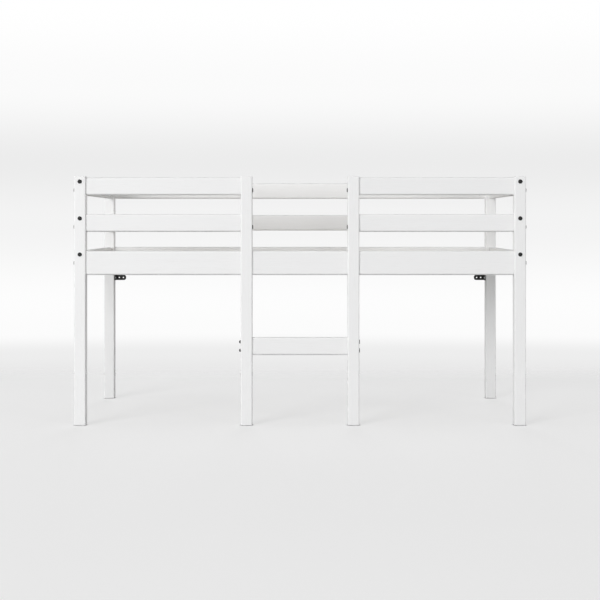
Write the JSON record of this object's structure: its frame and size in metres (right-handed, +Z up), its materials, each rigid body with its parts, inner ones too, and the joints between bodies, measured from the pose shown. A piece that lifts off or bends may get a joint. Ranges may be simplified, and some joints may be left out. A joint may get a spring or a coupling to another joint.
{
  "type": "mid sleeper bed",
  "caption": "Half-high single bed with guard rails all round, a ladder opening with a step in its front, a lift-out slatted base and wall brackets.",
  "frame": {"origin": "on the floor under the middle of the bed", "axes": "+X along the bed, to the right when facing the ladder; +Y from the ladder side to the wall side; +Z up"},
  "size_m": [2.1176, 1.0176, 1.165],
  "materials": {
    "white_lacquer": "white satin lacquer on softwood",
    "raw_pine": "planed, unfinished",
    "beech": "turned, unfinished",
    "black_steel": "black satin coating",
    "zinc_steel": "zinc plated",
    "webbing": "woven band"
  },
  "bodies": {
    "frame": {"barrel_nuts_back": "zinc_steel", "barrel_nuts_front": "zinc_steel", "barrel_nuts_left": "zinc_steel", "barrel_nuts_right": "zinc_steel", "bracket_screws": "zinc_steel", "dowels_end_rails": "beech", "dowels_long_rails": "beech", "dowels_step": "beech", "end_rail_left": "white_lacquer", "end_rail_right": "white_lacquer", "guard_rail_back_mid": "white_lacquer", "guard_rail_back_top": "white_lacquer", "guard_rail_front_left_mid": "white_lacquer", "guard_rail_front_left_top": "white_lacquer", "guard_rail_front_right_mid": "white_lacquer", "guard_rail_front_right_top": "white_lacquer", "guard_rail_left_mid": "white_lacquer", "guard_rail_left_top": "white_lacquer", "guard_rail_right_mid": "white_lacquer", "guard_rail_right_top": "white_lacquer", "ladder_step": "white_lacquer", "ladder_stile_left": "white_lacquer", "ladder_stile_right": "white_lacquer", "ledge_screws": "zinc_steel", "post_back_left": "white_lacquer", "post_back_right": "white_lacquer", "post_bolts_back": "black_steel", "post_bolts_front": "black_steel", "post_bolts_left": "black_steel", "post_bolts_right": "black_steel", "post_front_left": "white_lacquer", "post_front_right": "white_lacquer", "side_rail_back": "white_lacquer", "side_rail_front": "white_lacquer", "slat_ledge_back": "white_lacquer", "slat_ledge_front": "white_lacquer", "step_barrel_nuts": "zinc_steel", "step_bolts": "black_steel", "stile_bolts": "black_steel", "stile_screws": "zinc_steel", "wall_bracket_left": "black_steel", "wall_bracket_right": "black_steel"},
    "slatted_base": {"slat_01": "raw_pine", "slat_02": "raw_pine", "slat_03": "raw_pine", "slat_04": "raw_pine", "slat_05": "raw_pine", "slat_06": "raw_pine", "slat_07": "raw_pine", "slat_08": "raw_pine", "slat_09": "raw_pine", "slat_10": "raw_pine", "slat_11": "raw_pine", "slat_12": "raw_pine", "slat_13": "raw_pine", "slat_14": "raw_pine", "slat_15": "raw_pine", "slat_band_back": "webbing", "slat_band_front": "webbing"}
  },
  "joints": [
    {"name": "slatted_base_lift", "type": "slide", "parent": "frame", "child": "slatted_base", "axis": [0, 0, 1], "range_m": [0, 0.46]}
  ]
}
